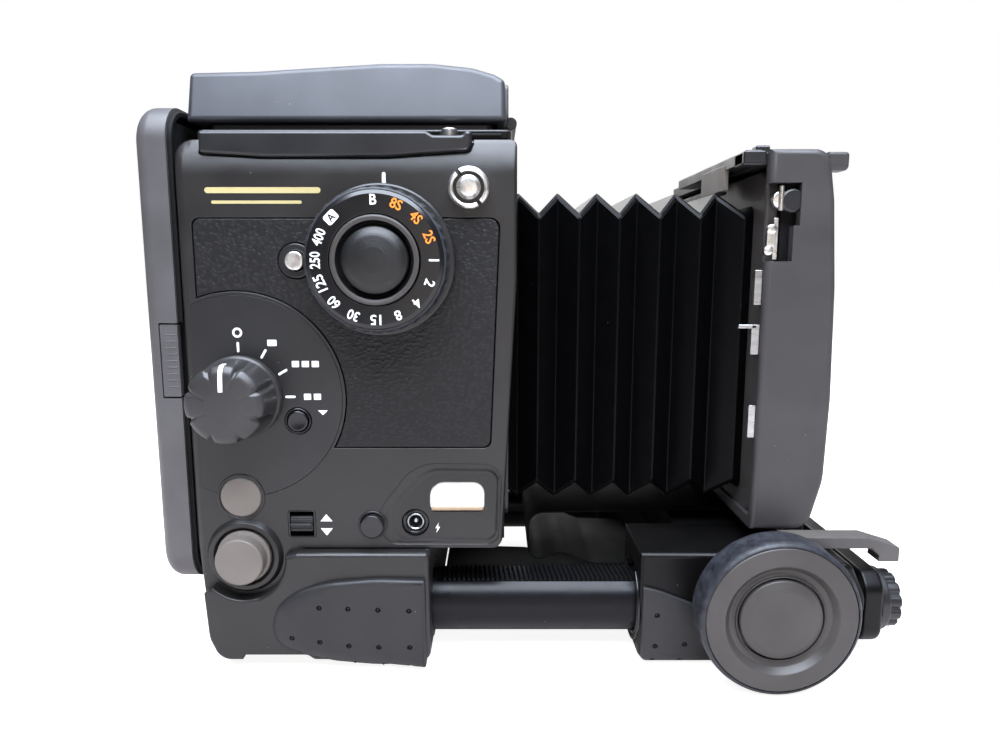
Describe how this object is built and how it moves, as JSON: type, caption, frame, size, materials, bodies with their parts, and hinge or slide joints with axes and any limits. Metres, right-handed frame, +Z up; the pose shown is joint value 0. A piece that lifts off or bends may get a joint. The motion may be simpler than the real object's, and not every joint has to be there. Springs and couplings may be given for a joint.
{
  "type": "folding bellows camera",
  "caption": "Medium-format reflex camera body on twin focusing rails, with a pleated bellows, an open lens standard, focusing knobs, a hood finder and a revolving back.",
  "frame": {"origin": "centre of the tripod plate's underside", "axes": "+X forward along the lens axis, +Y to the camera's left, +Z up"},
  "size_m": [0.2418, 0.1644, 0.1884],
  "materials": {
    "shell": "fine satin texture",
    "satin_plastic": "satin",
    "inner_black": "matt black",
    "leatherette": "pebbled grain",
    "grip_rubber": "fine texture",
    "knob_rubber": "satin, greyed",
    "anodised": "black anodised",
    "chrome": "polished",
    "steel": "brushed",
    "bellows_cloth": "coated cloth",
    "clear_glass": "polished",
    "ivory_plastic": "satin",
    "mirror_silver": "front-silvered"
  },
  "bodies": {
    "camera_body": {"mirror_box": "inner_black", "right_side_cover": "shell", "left_side_cover": "shell", "leatherette_right": "leatherette", "leatherette_left": "leatherette", "mode_disc_plate": "satin_plastic", "top_plate": "shell", "base_block": "shell", "tripod_plate": "steel", "base_grip_right": "grip_rubber", "base_grip_left": "grip_rubber", "scale_window": "ivory_plastic", "rail_rod_right": "anodised", "rail_rod_left": "anodised", "rail_crossbar": "shell", "dial_base_ring": "satin_plastic", "side_cap": "satin_plastic", "remote_cap": "satin_plastic", "sync_socket": "chrome", "strap_lug_right": "chrome", "strap_lug_left": "chrome", "focusing_screen": "clear_glass", "finder_base": "satin_plastic", "hood_panel_right": "satin_plastic", "hood_panel_left": "satin_plastic", "bellows": "bellows_cloth", "flex_ribbon": "inner_black"},
    "focus_carriage": {"carriage": "shell", "carriage_grip_right": "grip_rubber", "carriage_grip_left": "grip_rubber", "front_frame": "inner_black", "standard_cover": "shell", "bracket_arm_right": "satin_plastic", "bracket_arm_left": "satin_plastic"},
    "lens_lock": {"lens_lock_bar": "satin_plastic"},
    "knob_right": {"focus_knob_right": "satin_plastic", "knob_rubber_right": "knob_rubber"},
    "knob_left": {"focus_knob_left": "satin_plastic", "knob_rubber_left": "knob_rubber"},
    "cross_shaft": {"pinion_shaft": "steel"},
    "lock_knob": {"rail_lock_knob": "satin_plastic"},
    "speed_dial": {"shutter_dial": "satin_plastic"},
    "shutter_release": {"release_button": "satin_plastic"},
    "dial_lock": {"dial_lock_button": "chrome"},
    "mode_selector": {"mode_dial": "satin_plastic"},
    "film_wind": {"film_wind_button": "satin_plastic"},
    "preview": {"preview_button": "satin_plastic"},
    "mirror_up_switch": {"mirror_switch": "satin_plastic"},
    "finder_bar": {"finder_release_bar": "satin_plastic"},
    "finder_button": {"finder_release_button": "steel"},
    "hood": {"hood_lid": "shell"},
    "magnifier": {"magnifier_frame": "satin_plastic", "magnifier_lens": "clear_glass"},
    "reflex_mirror": {"mirror_frame": "inner_black", "mirror_glass": "mirror_silver"},
    "revolving_back": {"revolving_adapter": "satin_plastic"},
    "back_cover": {"rear_cover": "shell"},
    "latch_right": {"cover_latch_right": "shell"},
    "latch_left": {"cover_latch_left": "shell"}
  },
  "joints": [
    {"name": "focus_slide", "type": "slide", "parent": "camera_body", "child": "focus_carriage", "axis": [1, 0, 0], "range_m": [-0.059, 0.0007], "deforming": ["bellows", "flex_ribbon"]},
    {"name": "cross_shaft_turn", "type": "hinge", "parent": "focus_carriage", "child": "cross_shaft", "pos_m": [0.1389, 0, 0.0317], "axis": [0, 1, 0], "range_deg": [-1130, 14.5]},
    {"name": "knob_right_turn", "type": "hinge", "parent": "focus_carriage", "child": "knob_right", "pos_m": [0.1389, -0.07, 0.0242], "axis": [0, 1, 0], "range_deg": [-9.6, 752]},
    {"name": "knob_left_turn", "type": "hinge", "parent": "focus_carriage", "child": "knob_left", "pos_m": [0.1389, 0.07, 0.0242], "axis": [0, 1, 0], "range_deg": [-9.6, 752]},
    {"name": "lens_lock_slide", "type": "slide", "parent": "focus_carriage", "child": "lens_lock", "axis": [0, 1, 0], "range_m": [0, 0.006]},
    {"name": "rail_lock_turn", "type": "hinge", "parent": "camera_body", "child": "lock_knob", "pos_m": [0.1845, -0.048, 0.016], "axis": [1, 0, 0], "range_deg": [0, 90]},
    {"name": "speed_dial_turn", "type": "hinge", "parent": "camera_body", "child": "speed_dial", "pos_m": [0.0214, -0.07, 0.1283], "axis": [0, 1, 0], "continuous": true},
    {"name": "release_press", "type": "slide", "parent": "camera_body", "child": "shutter_release", "axis": [0, 1, 0], "range_m": [0, 0.002], "stiffness_N_per_m": 400},
    {"name": "dial_lock_press", "type": "slide", "parent": "camera_body", "child": "dial_lock", "axis": [0, 1, 0], "range_m": [0, 0.0013], "stiffness_N_per_m": 300},
    {"name": "mode_turn", "type": "hinge", "parent": "camera_body", "child": "mode_selector", "pos_m": [-0.0225, -0.07, 0.0873], "axis": [0, 1, 0], "range_deg": [0, 90]},
    {"name": "film_wind_press", "type": "slide", "parent": "camera_body", "child": "film_wind", "axis": [0, 1, 0], "range_m": [0, 0.001], "stiffness_N_per_m": 300},
    {"name": "preview_press", "type": "slide", "parent": "camera_body", "child": "preview", "axis": [0, 1, 0], "range_m": [0, 0.0015], "stiffness_N_per_m": 300},
    {"name": "mirror_switch_slide", "type": "slide", "parent": "camera_body", "child": "mirror_up_switch", "axis": [0, 0, 1], "range_m": [-0.0014, 0.0014]},
    {"name": "finder_bar_press", "type": "slide", "parent": "camera_body", "child": "finder_bar", "axis": [0, 1, 0], "range_m": [0, 0.001], "stiffness_N_per_m": 300},
    {"name": "finder_button_press", "type": "slide", "parent": "camera_body", "child": "finder_button", "axis": [0, 0, -1], "range_m": [0, 0.0012], "stiffness_N_per_m": 200},
    {"name": "lid_open", "type": "hinge", "parent": "camera_body", "child": "hood", "pos_m": [0.06, 0, 0.1712], "axis": [0, 1, 0], "range_deg": [0, 100]},
    {"name": "magnifier_tilt", "type": "hinge", "parent": "hood", "child": "magnifier", "pos_m": [-0.0235, 0, 0.18], "axis": [0, 1, 0], "range_deg": [0, 91]},
    {"name": "mirror_lift", "type": "hinge", "parent": "camera_body", "child": "reflex_mirror", "pos_m": [-0.027, 0, 0.146], "axis": [0, -1, 0], "range_deg": [0, 45]},
    {"name": "back_revolve", "type": "hinge", "parent": "camera_body", "child": "revolving_back", "pos_m": [-0.0435, 0, 0.1], "axis": [1, 0, 0], "range_deg": [0, 90]},
    {"name": "back_cover_pull", "type": "slide", "parent": "revolving_back", "child": "back_cover", "axis": [-1, 0, 0], "range_m": [0, 0.012]},
    {"name": "latch_right_press", "type": "hinge", "parent": "back_cover", "child": "latch_right", "pos_m": [-0.047, -0.0588, 0.098], "axis": [0, 0, 1], "range_deg": [0, 7], "stiffness_Nm_per_rad": 0.2},
    {"name": "latch_left_press", "type": "hinge", "parent": "back_cover", "child": "latch_left", "pos_m": [-0.047, 0.0588, 0.098], "axis": [0, 0, -1], "range_deg": [0, 7], "stiffness_Nm_per_rad": 0.2}
  ],
  "couplings": [
    {"joint": "cross_shaft_turn", "follows": "focus_slide", "rad_per_m": 333.33},
    {"joint": "knob_right_turn", "follows": "focus_slide", "rad_per_m": -222.22},
    {"joint": "knob_left_turn", "follows": "focus_slide", "rad_per_m": -222.22},
    {"joint": "magnifier_tilt", "follows": "lid_open", "ratio": 0.9}
  ]
}
